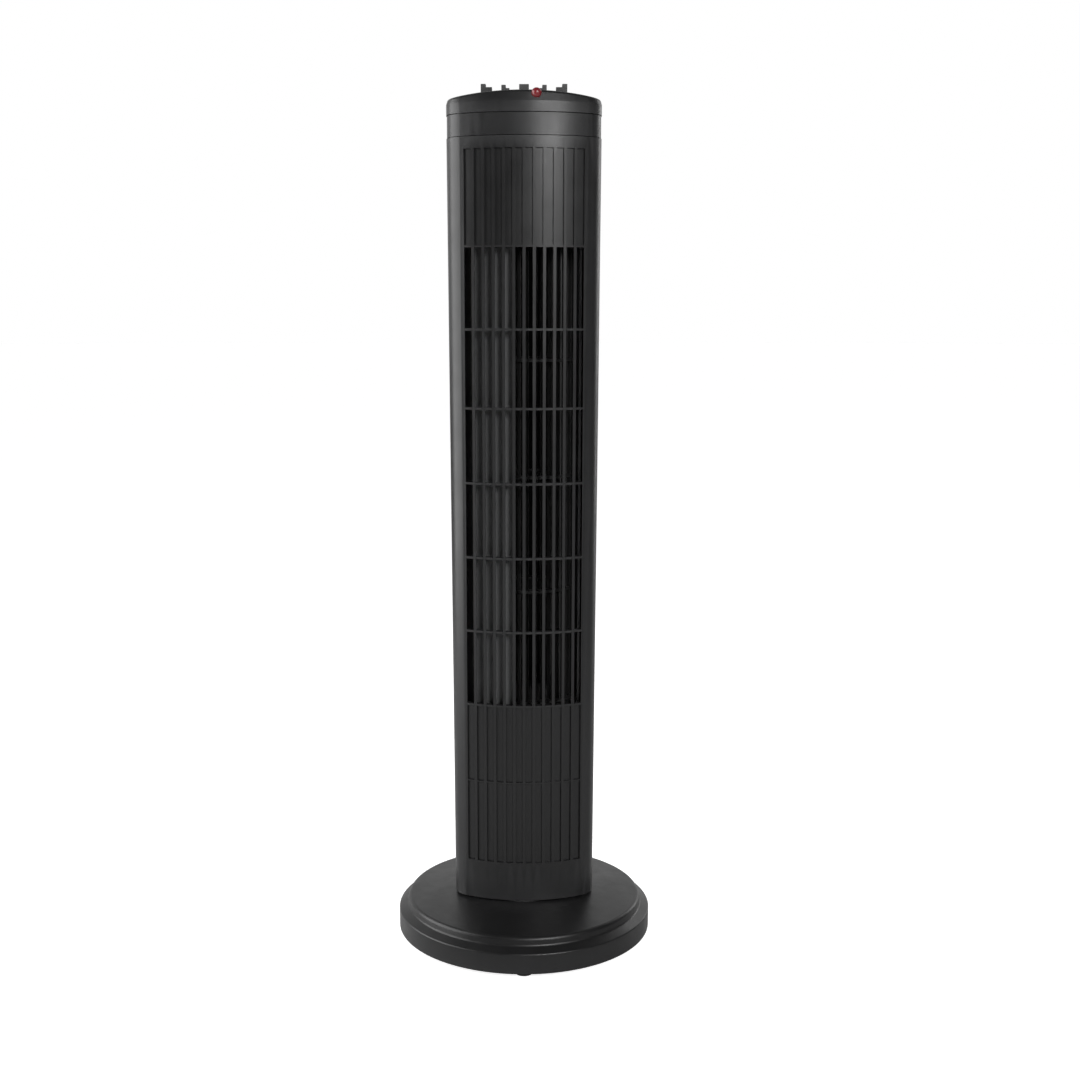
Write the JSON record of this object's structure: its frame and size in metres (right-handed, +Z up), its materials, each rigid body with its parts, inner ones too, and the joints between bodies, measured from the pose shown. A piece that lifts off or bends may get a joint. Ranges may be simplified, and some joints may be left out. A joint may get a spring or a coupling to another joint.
{
  "type": "tower fan",
  "caption": "Slim black tower fan: slatted column with a cross-flow impeller, swinging on a round stepped base, with press keys on its domed lid.",
  "frame": {"origin": "on the floor, at the middle of the round base, on the axis that the column swings about", "axes": "+Z up along the column, the slatted front faces -Y, +X to the right seen from the front"},
  "size_m": [0.235, 0.235, 0.7616],
  "materials": {
    "housing_black": "fine satin",
    "base_black": "satin",
    "inner_black": "satin",
    "impeller_black": "satin",
    "key_black": "satin",
    "lens_red": "glossy, tinted",
    "foot_rubber": "matt",
    "coupling_rubber": "matt",
    "nylon_white": "moulded nylon",
    "switch_grey": "moulded",
    "capacitor_grey": "moulded",
    "screw_black": "blackened",
    "steel": "ground",
    "ballast_iron": "rough cast",
    "motor_zinc": "zinc plated",
    "bearing_bronze": "sintered",
    "rotor_aluminium": "die cast",
    "lamination_iron": "stacked sheet",
    "winding_copper": "enamelled copper wire"
  },
  "bodies": {
    "base": {"base_cover": "base_black", "base_plate": "base_black", "base_screws": "screw_black", "rubber_feet": "foot_rubber", "base_ballast": "ballast_iron", "swivel_bearing": "inner_black", "drive_yoke": "nylon_white"},
    "column": {"column_floor": "housing_black", "hub_retainer": "nylon_white", "retainer_screws": "steel", "swing_motor_plate": "steel", "swing_motor": "motor_zinc", "front_housing": "housing_black", "rear_housing": "housing_black", "housing_screws": "screw_black", "cord_bush": "foot_rubber", "lower_deck": "inner_black", "upper_deck": "inner_black", "air_guide": "inner_black", "scroll_wall": "inner_black", "upper_bearing": "bearing_bronze", "bearing_mount": "foot_rubber", "motor_stator": "lamination_iron", "motor_windings": "winding_copper", "motor_upper_shield": "motor_zinc", "motor_lower_shield": "motor_zinc", "motor_standoffs": "steel", "motor_screws": "steel", "capacitor": "capacitor_grey", "collar": "housing_black", "lid": "housing_black", "switch_block": "switch_grey", "pilot_lens": "lens_red", "pilot_lamp": "switch_grey"},
    "impeller": {"impeller": "impeller_black", "impeller_stub_shaft": "steel", "motor_shaft": "steel", "motor_rotor": "rotor_aluminium", "shaft_coupling": "coupling_rubber"},
    "swing_crank": {"swing_crank": "nylon_white"},
    "low_speed_key": {"low_speed_key": "key_black"},
    "medium_speed_key": {"medium_speed_key": "key_black"},
    "off_key": {"off_key": "key_black"},
    "high_speed_key": {"high_speed_key": "key_black"},
    "swing_key": {"swing_key": "key_black"}
  },
  "joints": [
    {"name": "swivel", "type": "hinge", "parent": "base", "child": "column", "pos_m": [0, 0, 0.04], "axis": [0, 0, 1], "range_deg": [-35, 35]},
    {"name": "impeller_spin", "type": "hinge", "parent": "column", "child": "impeller", "pos_m": [0.006, 0.014, 0.4], "axis": [0, 0, 1], "continuous": true},
    {"name": "swing_crank_turn", "type": "hinge", "parent": "column", "child": "swing_crank", "pos_m": [0, 0.02, 0.06], "axis": [0, 0, 1], "range_deg": [-93, 93]},
    {"name": "low_speed_key_press", "type": "slide", "parent": "column", "child": "low_speed_key", "axis": [0, 0, -1], "range_m": [0, 0.004], "stiffness_N_per_m": 200, "springref_m": -0.003},
    {"name": "medium_speed_key_press", "type": "slide", "parent": "column", "child": "medium_speed_key", "axis": [0, 0, -1], "range_m": [0, 0.004], "stiffness_N_per_m": 200, "springref_m": -0.003},
    {"name": "off_key_press", "type": "slide", "parent": "column", "child": "off_key", "axis": [0, 0, -1], "range_m": [0, 0.004], "stiffness_N_per_m": 200, "springref_m": -0.003},
    {"name": "high_speed_key_press", "type": "slide", "parent": "column", "child": "high_speed_key", "axis": [0, 0, -1], "range_m": [0, 0.004], "stiffness_N_per_m": 200, "springref_m": -0.003},
    {"name": "swing_key_press", "type": "slide", "parent": "column", "child": "swing_key", "axis": [0, 0, -1], "range_m": [0, 0.004], "stiffness_N_per_m": 200, "springref_m": -0.003}
  ],
  "couplings": [
    {"joint": "swing_crank_turn", "follows": "swivel", "ratio": -2.65}
  ]
}
